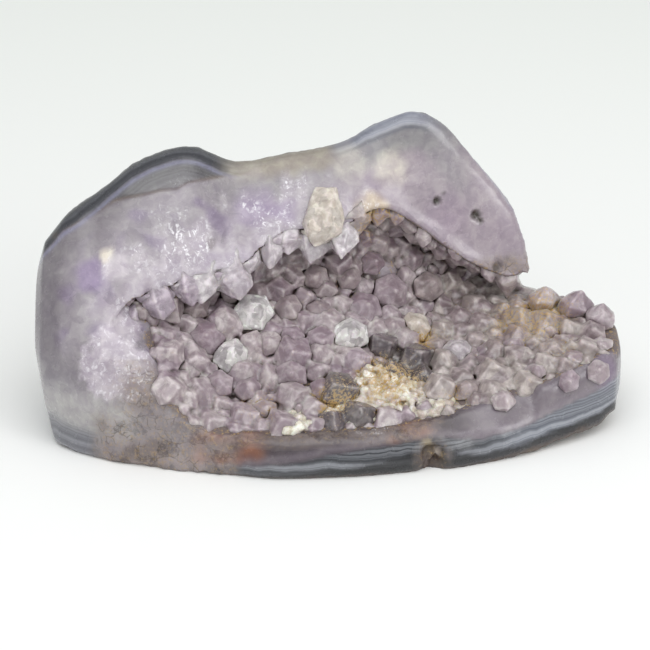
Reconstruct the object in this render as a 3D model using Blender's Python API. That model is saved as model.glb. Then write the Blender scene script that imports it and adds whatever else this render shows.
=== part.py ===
"""An amethyst geode: a polished wall of banded chalcedony round an open cavity lined with quartz points.

The stone lies as it rests on a table. +X is to the right along its length, +Y points away from the mouth
and +Z is up. Lengths below are in millimetres; MM turns them into Blender's metres.
"""

import math
import random

import bmesh
import bpy
import numpy as np
from mathutils import Matrix, Vector
from mathutils.bvhtree import BVHTree

MM = 0.001
GAP = 0.35
RING_STEP = 2.7
STEPS_AROUND = 4
FLAT_ANGLE = math.radians(0.5)
SEED = 7

# Outer skin, section by section from the left end to the right end. Each section goes round the stone:
# base front, base back, back low, back high, crest, polished face, upper lip, middle front, low front.
SKIN = (
    (-56.8, ((25, 12), (30, 12), (34, 16), (35, 24), (31, 31), (26, 30), (21, 25), (19, 20), (21, 15))),
    (-55.3, ((20, 5), (32, 5), (38, 12), (38, 26), (31, 36.5), (24, 33), (18, 26), (14.5, 18), (16, 10))),
    (-51.5, ((17, 0), (36, 0), (42, 10), (42, 27), (32, 41.2), (23.5, 36), (16, 28), (11.5, 19), (12, 8))),
    (-45.0, ((13.5, -1), (42, -1), (47, 12), (46, 30), (36, 45), (26, 39), (16, 29), (9, 18), (8.5, 7))),
    (-36.0, ((10, -1), (48, -1), (52, 13), (50, 34), (40, 50.4), (29, 43.5), (17, 29.5), (8, 19), (5.5, 7))),
    (-28.0, ((8, -1), (50, -1), (55, 13), (53, 36), (42, 52.2), (31, 44.5), (20.5, 31.5), (8.5, 19), (3.8, 7))),
    (-18.0, ((6, -1), (52, -1), (57, 13), (55, 34), (43, 48.4), (33.5, 41.5), (23.5, 33), (10, 19), (2, 7))),
    (-8.0, ((4.5, -1), (53, -1), (58, 13), (56, 35), (44.5, 49.6), (37, 44.5), (30, 38.2), (12, 19), (1, 6.5))),
    (2.0, ((5, -1), (53, -1), (58, 13), (56, 36), (45, 51.5), (38.5, 46.5), (31.5, 38.5), (13, 18), (1.5, 6.5))),
    (10.0, ((6, -1), (52, -1), (57, 13), (55.5, 38), (46, 55.6), (40.5, 49.5), (35.5, 41.5), (16, 18), (3, 6.5))),
    (17.0, ((7, -1), (51, -1), (56, 13), (55, 38), (46.5, 58), (41.5, 49), (37, 37), (18, 17), (4.5, 6.5))),
    (23.0, ((8, -1), (50, -1), (55.5, 13), (54.5, 36), (47, 55), (42, 46), (38, 32.5), (20, 16), (6, 6.5))),
    (28.0, ((9.5, -0.6), (49, -0.6), (55, 12), (54, 32), (47, 48.8), (42.5, 41), (38.5, 28.6), (21, 16), (7.5, 6.5))),
    (33.0, ((11, 0.2), (48, 0.2), (54, 12), (53, 28), (46.5, 43), (42.5, 36.5), (39, 26), (22, 16), (8.5, 6.5))),
    (37.0, ((12, 0.8), (47, 0.8), (52, 11), (51, 24), (45.5, 37.6), (42.5, 33), (40, 24.4), (22, 16), (10, 6.5))),
    (39.6, ((13, 1.2), (46, 1.2), (50, 10), (50, 20), (44, 31), (42, 28.5), (40, 24.2), (22, 16), (11.5, 6.7))),
    (41.2, ((14, 1.4), (45, 1.4), (49, 9), (48, 16), (44, 20.5), (38, 20.5), (30, 18.5), (15, 14), (12.5, 7))),
    (47.0, ((17, 1.6), (42, 1.6), (46, 8), (45, 15), (41, 20.4), (35, 20.4), (27, 18.5), (17, 14.5), (15, 8))),
    (53.0, ((20.5, 2.4), (39, 2.2), (43, 8), (42, 15), (38, 20), (32, 20), (26, 19), (19.6, 15.6), (18, 9))),
    (56.6, ((23.5, 3.6), (37, 3.6), (40, 9), (39, 14), (36, 19), (31, 19), (26, 18.5), (22, 15), (21.3, 9))),
    (57.8, ((26, 7), (34, 7), (36.5, 10), (36, 13), (33.5, 16), (30, 16), (27, 15.5), (25.5, 13), (25, 10))),
)

# The hollow that the crystals grew into. Each section: in front below, lower lip, floor, floor behind,
# deepest point, back of the ceiling, upper lip, in front above.
HOLLOW = (
    (-41.5, ((6, 24), (12.5, 24.5), (14, 25), (15, 25.5), (15.6, 26), (15.4, 26.6), (14.8, 27), (6, 27))),
    (-38.0, ((-4, 23), (12, 23.5), (15, 25), (18, 26.5), (20.5, 28.5), (20, 30), (16.5, 29.6), (-4, 30))),
    (-34.5, ((-8, 20), (10.5, 21.5), (14.5, 22.5), (19.5, 25), (25, 29), (24.5, 32), (18, 30.4), (-8, 30.5))),
    (-31.0, ((-8, 14), (7, 16), (13, 18), (20, 21.5), (28, 28), (28, 33.5), (19.4, 31), (-8, 31))),
    (-26.0, ((-8, 7.5), (3, 9), (11, 11.5), (20, 18), (30, 27.5), (31, 35), (21, 32.2), (-8, 32))),
    (-18.0, ((-8, 6.8), (1, 7.2), (11, 9.5), (21, 16.5), (32, 27), (34, 35.5), (23.6, 33.2), (-8, 33))),
    (-8.0, ((-8, 6.6), (0, 7), (11, 9.5), (22, 16), (34, 25.5), (39.5, 38.5), (30, 38.4), (-8, 38))),
    (2.0, ((-8, 6.6), (0.5, 7), (12, 9.2), (23, 15), (36, 24), (42, 39.5), (31.6, 38.7), (-8, 38))),
    (10.0, ((-8, 7), (2.5, 7.4), (13, 9), (24, 12.8), (38, 20), (44.5, 38), (35.6, 41.6), (-8, 42))),
    (17.0, ((-8, 7.6), (4, 8), (15, 9.2), (26, 12), (41, 17.5), (46.5, 32), (37, 38), (-8, 39))),
    (23.0, ((-8, 8.2), (5.5, 8.6), (16.5, 10), (28, 12.6), (44, 16.5), (48, 27), (38.2, 32.6), (-8, 34))),
    (28.0, ((-8, 8.8), (7, 9.2), (18, 11), (29, 13.6), (46, 17), (49.5, 24.5), (38.8, 28.6), (-8, 30))),
    (33.0, ((-8, 9.8), (9.5, 10), (19, 12.4), (30, 15.2), (50, 18), (52, 22.5), (39.2, 26), (-8, 27))),
    (36.5, ((-8, 10.6), (12.5, 11), (20, 13), (31, 16), (60, 18), (60, 21.6), (40, 24.4), (-8, 26))),
    (42.0, ((-8, 12), (14, 12.6), (21.5, 14.4), (31, 16.8), (60, 18.4), (60, 26), (40, 26), (-8, 26))),
    (47.0, ((-8, 13.8), (16, 14.3), (23, 15.6), (31, 17), (60, 18.2), (60, 26), (40, 27), (-8, 27))),
    (53.0, ((-8, 15.6), (19, 16), (25, 16.6), (31, 17), (60, 17.6), (60, 26), (40, 27), (-8, 27))),
    (60.0, ((-8, 16.4), (22, 16.6), (27, 16.8), (31, 17), (60, 16.8), (60, 26), (40, 27), (-8, 27))),
)

# A broken corner in the agate of the lower lip.
NOTCH_CENTRE = (18.5, 3.2, 0.0)
NOTCH_RADIUS = 3.4

# Crystals on the floor and the back are set out on the plane of the mouth, which leans back by MOUTH_LEAN,
# and are dropped onto the wall square to it: name, across, up, radius, height.
MOUTH_LEAN = 25.0
FLOOR_POINTS = (
    ("clear_point", -13.8, 32.9, 4.2, 8.5),
    ("grey_point", -25.1, 33.9, 3.2, 6.0),
    ("lavender_point", -23.6, 27.8, 4.1, 7.0),
    ("bright_point", -18.3, 24.6, 3.8, 7.5),
    ("hexagon_point_left", 8.2, 33.9, 4.2, 8.0),
    ("hexagon_point_right", 13.8, 36.5, 3.9, 7.5),
    ("tall_grey_point", 21.2, 38.2, 3.3, 8.0),
    ("whitish_point", 5.3, 28.4, 3.8, 8.5),
    ("round_point", 12.9, 29.8, 3.0, 7.0),
    ("beige_point", 18.2, 30.2, 3.2, 9.0),
    ("pale_point", 25.6, 25.7, 3.7, 9.0),
    ("dusty_hexagon", 27.4, 18.2, 4.5, 7.0),
    ("shelf_point_a", 36.2, 26.3, 3.6, 6.0),
    ("shelf_point_b", 31.2, 25.0, 2.6, 5.0),
    ("shelf_point_c", 40.6, 21.4, 2.6, 5.0),
    ("shelf_point_d", 34.0, 16.4, 2.4, 4.5),
    ("shelf_point_e", 47.0, 23.5, 2.8, 5.0),
    ("shelf_point_f", 53.3, 26.0, 2.8, 4.5),
    ("shelf_point_g", 37.8, 33.4, 2.7, 7.0),
    ("shelf_point_h", 43.5, 28.8, 2.6, 4.8),
    ("shelf_point_i", 49.6, 30.0, 2.7, 4.8),
    ("shelf_point_j", 46.8, 18.6, 2.3, 4.0),
    ("shelf_point_k", 52.6, 21.0, 2.4, 4.0),
    ("floor_point_a", -21.3, 19.2, 3.0, 6.5),
    ("floor_point_b", -11.5, 26.4, 2.6, 6.0),
    ("floor_point_c", -6.6, 27.3, 2.6, 6.0),
    ("floor_point_d", -15.2, 18.4, 2.7, 6.0),
    ("floor_point_e", -7.0, 20.4, 3.3, 7.0),
    ("floor_point_f", -1.6, 25.0, 2.9, 6.5),
    ("floor_point_g", -11.6, 14.0, 2.8, 5.0),
    ("floor_point_h", -1.4, 17.6, 2.7, 5.5),
    ("floor_point_i", -5.6, 14.2, 2.5, 4.5),
    ("floor_point_j", 4.4, 20.4, 2.9, 5.0),
    ("floor_point_k", 10.4, 22.8, 2.4, 4.0),
    ("floor_point_l", -20.2, 13.2, 2.6, 4.5),
    ("floor_point_m", -27.4, 22.4, 3.0, 5.0),
    ("back_point_a", -18.2, 36.6, 2.7, 5.5),
    ("back_point_b", -8.0, 34.2, 2.7, 6.0),
    ("back_point_c", -1.6, 33.6, 2.6, 6.0),
    ("back_point_d", -2.4, 39.2, 2.6, 5.5),
    ("back_point_e", 4.2, 39.0, 2.5, 5.5),
    ("back_point_f", 9.6, 42.4, 2.6, 5.5),
)

# Points that stand up along the far edge of the shelf: name, foot (x, y), radius, height, lean to the right.
SHELF_POINTS = (
    ("shelf_edge_point_a", 43.4, 39.0, 3.1, 6.4, 0.05),
    ("shelf_edge_point_b", 49.2, 36.5, 3.4, 6.8, 0.22),
    ("shelf_edge_point_c", 54.0, 33.0, 3.0, 5.4, 0.12),
)

# Points that hang from the upper lip: name, tip, radius, direction of growth.
LIP_POINTS = (
    ("lip_point_a", (-34.2, 18.8, 26.9), 3.8, (0.10, -0.80, -1.0)),
    ("lip_point_b", (-28.6, 21.0, 28.9), 3.0, (0.10, -0.80, -1.0)),
    ("lip_point_c", (-21.2, 23.5, 29.6), 3.8, (0.00, -0.80, -1.0)),
    ("lip_point_d", (-15.8, 25.8, 31.2), 3.0, (0.10, -0.80, -1.0)),
    ("lip_point_e", (-10.6, 29.4, 34.4), 2.6, (0.00, -0.80, -1.0)),
    ("beige_lip_point", (-2.6, 28.4, 36.2), 4.6, (-0.30, -0.95, -0.75)),
    ("grey_lip_point", (5.4, 33.4, 36.0), 3.8, (0.15, -0.80, -1.0)),
)
LIP_SLENDERNESS = 2.1


def clear_scene():
    for thing in list(bpy.data.objects):
        bpy.data.objects.remove(thing, do_unlink=True)


def new_collection(name):
    made = bpy.data.collections.new(name)
    bpy.context.scene.collection.children.link(made)
    return made


def stone_material(name, colour, roughness):
    material = bpy.data.materials.new(name)
    material.use_nodes = True
    shader = material.node_tree.nodes["Principled BSDF"]
    shader.inputs["Base Color"].default_value = (*colour, 1.0)
    shader.inputs["Roughness"].default_value = roughness
    shader.inputs["Metallic"].default_value = 0.0
    return material


def object_of(name, mesh, collection, material=None):
    made = bpy.data.objects.new(name, mesh)
    collection.objects.link(made)
    if material:
        mesh.materials.append(material)
    return made


def mesh_of(name, shape):
    mesh = bpy.data.meshes.new(name)
    shape.to_mesh(mesh)
    shape.free()
    return mesh


def hide_cutter(cutter):
    cutter.hide_render = True
    cutter.display_type = "WIRE"


def closed_spline(points, steps):
    """A closed smooth curve through the points, with steps samples on each stretch between two of them."""
    points = np.asarray(points, float)
    before, after = np.roll(points, 1, axis=0), np.roll(points, -1, axis=0)
    headings = (after - before) / np.linalg.norm(after - before, axis=1, keepdims=True)
    chords = np.linalg.norm(after - points, axis=1, keepdims=True)
    leaving, arriving = headings * chords, np.roll(headings, -1, axis=0) * chords
    rows = []
    for t in np.arange(steps) / steps:
        rows.append(
            points * (1 + 2 * t) * (1 - t) ** 2
            + leaving * t * (1 - t) ** 2
            + after * t**2 * (3 - 2 * t)
            + arriving * t**2 * (t - 1)
        )
    return np.stack(rows, axis=1).reshape(-1, points.shape[1])


def smooth_along(places, values, at):
    """Monotone cubic interpolation of the values, one row for each place, so that no section overshoots."""
    widths = np.diff(places)[:, None]
    slopes = np.diff(values, axis=0) / widths
    tangents = np.zeros_like(values)
    same_way = slopes[:-1] * slopes[1:] > 0
    total = np.where(same_way, slopes[:-1] + slopes[1:], 1.0)
    tangents[1:-1] = np.where(same_way, 2 * slopes[:-1] * slopes[1:] / total, 0.0)
    tangents[0], tangents[-1] = slopes[0], slopes[-1]
    i = int(np.clip(np.searchsorted(places, at) - 1, 0, len(places) - 2))
    t = (at - places[i]) / widths[i, 0]
    return (
        values[i] * (1 + 2 * t) * (1 - t) ** 2
        + widths[i, 0] * tangents[i] * t * (1 - t) ** 2
        + values[i + 1] * t**2 * (3 - 2 * t)
        + widths[i, 0] * tangents[i + 1] * t**2 * (t - 1)
    )


def loft(name, sections, steps, rounded):
    """A closed body through the sections. A rounded one has curved sections, the other keeps its corners."""
    places = np.array([place for place, _ in sections])
    if rounded:
        rings = [closed_spline(section, steps) for _, section in sections]
    else:
        rings = [straight_ring(section, steps) for _, section in sections]
    values = np.array([ring.reshape(-1) for ring in rings])
    shape = bmesh.new()
    loops = []
    for start, end in zip(places, places[1:]):
        count = max(1, round((end - start) / RING_STEP))
        for step in range(count):
            loops.append(ring_at(shape, places, values, start + (end - start) * step / count))
    loops.append(ring_at(shape, places, values, places[-1]))
    for first, second in zip(loops, loops[1:]):
        join_rings(shape, first, second)
    for loop in (loops[0], loops[-1]):
        cap = shape.faces.new(loop)
        bmesh.ops.poke(shape, faces=[cap])
    bmesh.ops.triangulate(shape, faces=shape.faces[:])
    bmesh.ops.recalc_face_normals(shape, faces=shape.faces[:])
    return mesh_of(name, shape)


def straight_ring(section, steps):
    """The section's corners with evenly spaced points on the straight runs between them."""
    corners = np.asarray(section, float)
    after = np.roll(corners, -1, axis=0)
    return np.stack([corners + (after - corners) * k / steps for k in range(steps)], axis=1).reshape(-1, 2)


def ring_at(shape, places, values, place):
    outline = smooth_along(places, values, place).reshape(-1, 2)
    return [shape.verts.new((place * MM, y * MM, z * MM)) for y, z in outline]


def join_rings(shape, first, second):
    for i, vertex in enumerate(first):
        j = (i + 1) % len(first)
        shape.faces.new((vertex, first[j], second[j], second[i]))


def rough_ball(name, centre, radius, roughness):
    """A lumpy ball, for a break in the stone."""
    shape = bmesh.new()
    bmesh.ops.create_icosphere(shape, subdivisions=2, radius=radius * MM)
    for vertex in shape.verts:
        vertex.co *= 1 + RANDOM.uniform(-roughness, roughness)
    bmesh.ops.translate(shape, verts=shape.verts[:], vec=Vector(centre) * MM)
    return mesh_of(name, shape)


def ground_box(name):
    """Everything below the table, so that the stone rests on a flat ground seat."""
    shape = bmesh.new()
    bmesh.ops.create_cube(shape, size=1.0)
    bmesh.ops.scale(shape, verts=shape.verts[:], vec=(0.2, 0.2, 0.02))
    bmesh.ops.translate(shape, verts=shape.verts[:], vec=(0, 0.03, -0.01))
    return mesh_of(name, shape)


def cut(target, cutter):
    """Takes the cutter's space out of the target and applies the result to its mesh."""
    modifier = target.modifiers.new("cut", "BOOLEAN")
    modifier.operation = "DIFFERENCE"
    modifier.solver = "EXACT"
    modifier.object = cutter
    graph = bpy.context.evaluated_depsgraph_get()
    mesh = bpy.data.meshes.new_from_object(target.evaluated_get(graph))
    target.modifiers.remove(modifier)
    spent = target.data
    target.data = mesh
    bpy.data.meshes.remove(spent)


def tidy(target, flat=0.0, keep_at=None):
    """Welds slivers, keeps one body and, with flat over zero, merges facets that lie in one plane.

    The body that is kept reaches the place keep_at, or is the largest where that is not given.
    """
    shape = bmesh.new()
    shape.from_mesh(target.data)
    bmesh.ops.dissolve_degenerate(shape, edges=shape.edges[:], dist=0.01 * MM)
    keep_one(shape, keep_at)
    if flat:
        bmesh.ops.dissolve_limit(shape, angle_limit=flat, verts=shape.verts[:], edges=shape.edges[:])
    bmesh.ops.triangulate(shape, faces=shape.faces[:])
    shape.to_mesh(target.data)
    shape.free()


def islands(shape):
    """Groups of vertices that are joined by edges."""
    left = set(shape.verts)
    groups = []
    while left:
        group = {left.pop()}
        front = list(group)
        while front:
            near = {edge.other_vert(v) for v in front for edge in v.link_edges} & left
            left -= near
            group |= near
            front = list(near)
        groups.append(group)
    return groups


def keep_one(shape, keep_at):
    groups = islands(shape)
    if keep_at is None:
        kept = max(groups, key=len)
    else:
        kept = min(groups, key=lambda group: min((vertex.co - keep_at).length for vertex in group))
    for group in groups:
        if group is not kept:
            bmesh.ops.delete(shape, geom=list(group), context="VERTS")


def make_wall(parts, cutters):
    """The stone's own wall: the outer skin less the hollow, the broken corner and the table."""
    rock = stone_material("chalcedony", (0.36, 0.33, 0.36), 0.25)
    wall = object_of("geode_wall", loft("geode_wall", SKIN, STEPS_AROUND, True), parts, rock)
    for name, mesh in (
        ("hollow_cutter", loft("hollow_cutter", HOLLOW, STEPS_AROUND, False)),
        ("notch_cutter", rough_ball("notch_cutter", NOTCH_CENTRE, NOTCH_RADIUS, 0.18)),
        ("ground_cutter", ground_box("ground_cutter")),
    ):
        cutter = object_of(name, mesh, cutters)
        hide_cutter(cutter)
        cut(wall, cutter)
    tidy(wall)
    return wall


def swollen_copy(wall, cutters):
    """The wall grown by the gap that crystals keep to it."""
    shape = bmesh.new()
    shape.from_mesh(wall.data)
    shape.normal_update()
    places = [vertex.co + vertex.normal * GAP * MM for vertex in shape.verts]
    for vertex, place in zip(shape.verts, places):
        vertex.co = place
    copy = object_of("wall_gap_cutter", mesh_of("wall_gap_cutter", shape), cutters)
    hide_cutter(copy)
    return copy


class Crystal:
    """A hexagonal quartz point: its foot, the way it grows, its radius and its height, in millimetres."""

    def __init__(self, name, foot, growth, radius, height, root=2.0):
        self.name = name
        self.foot = Vector(foot)
        self.growth = Vector(growth).normalized()
        self.radius = radius
        self.height = height
        self.root = root
        self.turn = RANDOM.uniform(0, math.tau / 6)
        self.squash = RANDOM.uniform(0.86, 1.0)

    def tip(self):
        return self.foot + self.growth * self.height

    def middle(self):
        return self.foot + self.growth * self.height * 0.5

    def shape(self):
        """A six-sided prism from below the foot, with a six-sided pyramid on its upper end."""
        shape = bmesh.new()
        cap = self.radius * 0.85
        length = max(self.height - cap, 0.5) + self.root
        bmesh.ops.create_cone(
            shape, cap_ends=True, segments=6, radius1=self.radius * 0.94, radius2=self.radius, depth=length
        )
        bmesh.ops.translate(shape, verts=shape.verts[:], vec=(0, 0, length / 2 - self.root))
        top = max(shape.faces, key=lambda face: face.calc_center_median().z)
        tip = bmesh.ops.poke(shape, faces=[top])["verts"][0]
        tip.co.z = self.height
        bmesh.ops.scale(shape, verts=shape.verts[:], vec=(1.0, self.squash, 1.0))
        bmesh.ops.rotate(shape, verts=shape.verts[:], matrix=Matrix.Rotation(self.turn, 3, "Z"))
        aim = Vector((0, 0, 1)).rotation_difference(self.growth).to_matrix()
        bmesh.ops.rotate(shape, verts=shape.verts[:], matrix=aim)
        bmesh.ops.translate(shape, verts=shape.verts[:], vec=self.foot)
        return shape


def trim_between(shape, crystal, other):
    """Cuts a crystal where its neighbour meets it, and leaves half of the gap on this side."""
    across = other.middle() - crystal.middle()
    distance = across.length
    if distance > crystal.radius + other.radius + crystal.height + other.height:
        return
    share = 0.5 + 0.5 * (crystal.radius**2 - other.radius**2) / distance**2
    across.normalize()
    place = crystal.middle() + across * (distance * min(max(share, 0.3), 0.7) - GAP / 2)
    found = bmesh.ops.bisect_plane(
        shape, geom=shape.verts[:] + shape.edges[:] + shape.faces[:],
        plane_co=place, plane_no=across, clear_outer=True,
    )
    rim = [part for part in found["geom_cut"] if isinstance(part, bmesh.types.BMEdge)]
    if rim:
        bmesh.ops.contextual_create(shape, geom=rim)


def floor_crystals(surface):
    """The points on the floor and the back of the hollow, dropped onto the wall square to the mouth."""
    lean = math.radians(MOUTH_LEAN)
    inward = Vector((0, math.cos(lean), -math.sin(lean)))
    upward = Vector((0, math.sin(lean), math.cos(lean)))
    made = []
    for name, across, up, radius, height in FLOOR_POINTS:
        start = Vector((across, 0, 0)) + upward * up - inward * 100
        hit, normal, _, _ = surface.ray_cast(start * MM, inward)
        growth = normal * 0.6 - inward * 0.7 + upward * 0.1
        growth += Vector([RANDOM.uniform(-0.22, 0.22) for _ in range(3)])
        growth.normalize()
        tip = hit / MM - inward * height * 0.8
        made.append(Crystal(name, tip - growth * height, growth, radius, height))
    return made


def shelf_crystals(surface):
    """The points that stand along the far edge of the shelf."""
    made = []
    for name, x, y, radius, height, lean in SHELF_POINTS:
        hit, _, _, _ = surface.ray_cast(Vector((x, y, 23)) * MM, Vector((0, 0, -1)))
        made.append(Crystal(name, hit / MM, (lean, -0.15, 1.0), radius, height))
    return made


def lip_crystals():
    """The points that hang from the upper lip."""
    made = []
    for name, tip, radius, growth in LIP_POINTS:
        height = radius * LIP_SLENDERNESS
        growth = Vector(growth).normalized()
        made.append(Crystal(name, Vector(tip) - growth * height, growth, radius, height))
    return made


def make_crystals(wall, parts, cutters):
    quartz = stone_material("amethyst_quartz", (0.42, 0.36, 0.42), 0.3)
    clear = stone_material("clear_quartz", (0.55, 0.53, 0.5), 0.2)
    shape = bmesh.new()
    shape.from_mesh(wall.data)
    surface = BVHTree.FromBMesh(shape)
    shape.free()
    crystals = floor_crystals(surface) + shelf_crystals(surface) + lip_crystals()
    skin = swollen_copy(wall, cutters)
    for crystal in crystals:
        body = crystal.shape()
        for other in crystals:
            if other is not crystal:
                trim_between(body, crystal, other)
        bmesh.ops.scale(body, verts=body.verts[:], vec=(MM, MM, MM))
        bmesh.ops.recalc_face_normals(body, faces=body.faces[:])
        pale = crystal.name.startswith(("clear", "beige", "pale", "bright", "whitish"))
        point = object_of(crystal.name, mesh_of(crystal.name, body), parts, clear if pale else quartz)
        cut(point, skin)
        tidy(point, FLAT_ANGLE, crystal.tip() * MM)


def centre_on_seat(parts):
    """Moves the whole stone so that the middle of the underside of its box is the origin."""
    corners = [Vector(v.co) for part in parts.objects for v in part.data.vertices]
    low = Vector([min(corner[axis] for corner in corners) for axis in range(3)])
    high = Vector([max(corner[axis] for corner in corners) for axis in range(3)])
    shift = Vector((-(low.x + high.x) / 2, -(low.y + high.y) / 2, -low.z))
    for part in parts.objects:
        part.data.transform(Matrix.Translation(shift))


def main():
    clear_scene()
    parts = new_collection("chalcedony_geode")
    cutters = new_collection("cutters")
    wall = make_wall(parts, cutters)
    make_crystals(wall, parts, cutters)
    centre_on_seat(parts)


RANDOM = random.Random(SEED)
main()
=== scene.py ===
"""The looks of the amethyst geode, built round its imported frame.

The stone is a ground and polished wall of banded chalcedony, quartz and amethyst that opens onto a hollow
lined with quartz points. Lengths in the classes below are millimetres in the frame's own axes, and MM turns
them into Blender's metres.
"""

import logging
import math
import random
from dataclasses import dataclass
from enum import Enum

import bmesh
import bpy
import numpy as np
from mathutils import Matrix, Vector, noise
from mathutils.bvhtree import BVHTree
from mathutils.kdtree import KDTree


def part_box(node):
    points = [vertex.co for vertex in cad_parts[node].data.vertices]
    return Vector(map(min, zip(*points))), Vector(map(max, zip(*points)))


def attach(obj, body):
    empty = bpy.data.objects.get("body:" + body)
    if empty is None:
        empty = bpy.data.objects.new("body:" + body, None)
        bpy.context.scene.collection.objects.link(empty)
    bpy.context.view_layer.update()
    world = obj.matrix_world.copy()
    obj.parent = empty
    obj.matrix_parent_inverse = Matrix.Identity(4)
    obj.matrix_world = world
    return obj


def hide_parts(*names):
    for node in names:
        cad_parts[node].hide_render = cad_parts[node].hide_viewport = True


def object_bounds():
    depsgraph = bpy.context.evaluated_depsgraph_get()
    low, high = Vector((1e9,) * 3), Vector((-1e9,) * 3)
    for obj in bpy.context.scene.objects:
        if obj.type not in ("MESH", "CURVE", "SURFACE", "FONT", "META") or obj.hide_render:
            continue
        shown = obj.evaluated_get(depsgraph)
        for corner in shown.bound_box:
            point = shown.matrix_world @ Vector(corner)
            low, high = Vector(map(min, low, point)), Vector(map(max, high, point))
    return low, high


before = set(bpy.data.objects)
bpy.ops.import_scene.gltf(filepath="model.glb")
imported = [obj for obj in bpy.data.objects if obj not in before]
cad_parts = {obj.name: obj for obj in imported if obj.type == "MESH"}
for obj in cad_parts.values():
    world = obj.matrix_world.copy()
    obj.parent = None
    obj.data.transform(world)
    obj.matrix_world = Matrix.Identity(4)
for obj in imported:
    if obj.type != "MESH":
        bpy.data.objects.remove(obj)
CAD_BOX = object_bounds()

MM = 0.001
BODY = "root"
LOG = logging.getLogger("geode")

Place = tuple[float, float, float]
Grown = tuple[Vector, Vector, float]

# Where the upper jaw gives way to the lobe, across the stone.
JAW_END = 8.0
# Where the heaped grains leave no room for points: the middle of each clearing.
HEAPS = ((9.0, -12.0, 9.8), (15.0, -14.0, 9.8))
# Heaps of grains: middle, size, number of grains and height.
GRAIN_HEAPS = (((9.0, -12.0, 9.8), 7.5, 260, 2.8), ((15.0, -14.5, 9.8), 7.5, 240, 2.6),
               ((5.0, -17.0, 9.2), 6.0, 110, 1.6), ((-7.0, -22.5, 9.0), 4.0, 24, 1.4),
               ((20.0, -16.5, 9.5), 4.0, 50, 1.2), ((1.0, -20.0, 9.0), 3.5, 30, 1.0))
# Nests of smoky points: middle and size.
SMOKY_NESTS = (((14.0, -6.0, 12.0), 7.0), ((2.0, -17.0, 9.0), 5.5))
# Patches of ochre earth: middle, size and strength.
SOILS = (((11, -12, 10), 11, 1.0), ((1, -17, 9.5), 8, 0.9), ((19, 1, 13), 6, 1.0), ((40, 5, 17), 13, 0.8),
         ((46, -6, 15), 8, 0.5), ((9, 7, 38), 8, 0.8), ((-14, -20, 9), 7, 0.5), ((24, -15, 10), 6, 0.5))


class Slot(Enum):
    """The record's material slots."""

    WALL = "chalcedony"
    AMETHYST = "amethyst_quartz"
    CLEAR = "clear_quartz"


def srgb(*code: int) -> tuple[float, float, float]:
    """Turns a colour on the 0 to 255 display scale into linear light.

    Args:
        code: Red, green and blue.

    Returns:
        The three linear values.
    """
    return tuple(((c / 255 + 0.055) / 1.055) ** 2.4 if c > 10 else c / 255 / 12.92 for c in code)


def smoothstep(low: float, high: float, value: np.ndarray) -> np.ndarray:
    """A soft step from 0 at low to 1 at high."""
    t = np.clip((value - low) / (high - low), 0.0, 1.0)
    return t * t * (3 - 2 * t)


def mixed(base: np.ndarray, paint: tuple[float, float, float], amount: np.ndarray) -> np.ndarray:
    """Lays a paint over per-point colours.

    Args:
        base: Colours, one row a point.
        paint: The colour that is laid on.
        amount: How much of it, 0 to 1, one value a point.

    Returns:
        The new colours.
    """
    return base + (np.array(paint) - base) * np.clip(amount, 0, 1)[:, None]


def field_noise(places: np.ndarray, size: float, seed: float = 0.0) -> np.ndarray:
    """Smooth noise with features of a given size.

    Args:
        places: Points in millimetres, one row a point.
        size: Feature size in millimetres.
        seed: Shifts the pattern.

    Returns:
        Values from about -1 to 1.
    """
    scaled = places / size + seed * 17.3
    return np.array([noise.noise(Vector(row)) for row in scaled])


def spot(places: np.ndarray, centre: Place, size: float) -> np.ndarray:
    """A soft round patch, 1 at its centre and 0 from its size outwards."""
    return 1 - smoothstep(0.35 * size, size, np.linalg.norm(places - np.array(centre), axis=1))


def place_in_collection(name: str, mesh: bpy.types.Mesh) -> bpy.types.Object:
    """Makes an object of a mesh and links it to the scene.

    Args:
        name: The object's name.
        mesh: Its mesh.

    Returns:
        The object.
    """
    made = bpy.data.objects.new(name, mesh)
    bpy.context.scene.collection.objects.link(made)
    return made


def coordinates(mesh: bpy.types.Mesh) -> np.ndarray:
    """The mesh's points in millimetres, one row a point.

    Args:
        mesh: The mesh.

    Returns:
        The points.
    """
    flat = np.empty(len(mesh.vertices) * 3, np.float32)
    mesh.vertices.foreach_get("co", flat)
    return flat.reshape(-1, 3).astype(float) / MM


def normals(mesh: bpy.types.Mesh) -> np.ndarray:
    """The mesh's point normals, one row a point.

    Args:
        mesh: The mesh.

    Returns:
        The normals.
    """
    flat = np.empty(len(mesh.vertices) * 3, np.float32)
    mesh.vertex_normals.foreach_get("vector", flat)
    return flat.reshape(-1, 3).astype(float)


def set_points(mesh: bpy.types.Mesh, places: np.ndarray) -> None:
    """Moves the mesh's points to places in millimetres."""
    mesh.vertices.foreach_set("co", (places * MM).astype(np.float32).reshape(-1))
    mesh.update()


def store(mesh: bpy.types.Mesh, name: str, values: np.ndarray) -> None:
    """Stores values as an attribute of the mesh: a colour where a row has three values, else a number.

    Args:
        mesh: The mesh.
        name: The attribute's name.
        values: One row or number for each point.
    """
    if values.ndim == 2:
        layer = mesh.attributes.new(name, "FLOAT_COLOR", "POINT")
        layer.data.foreach_set("color", np.c_[values, np.ones(len(values))].astype(np.float32).reshape(-1))
    else:
        layer = mesh.attributes.new(name, "FLOAT", "POINT")
        layer.data.foreach_set("value", values.astype(np.float32))


def evaluated_mesh(piece: bpy.types.Object) -> bpy.types.Mesh:
    """The piece's mesh with its modifiers applied, as a new mesh."""
    graph = bpy.context.evaluated_depsgraph_get()
    return bpy.data.meshes.new_from_object(piece.evaluated_get(graph))


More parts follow.
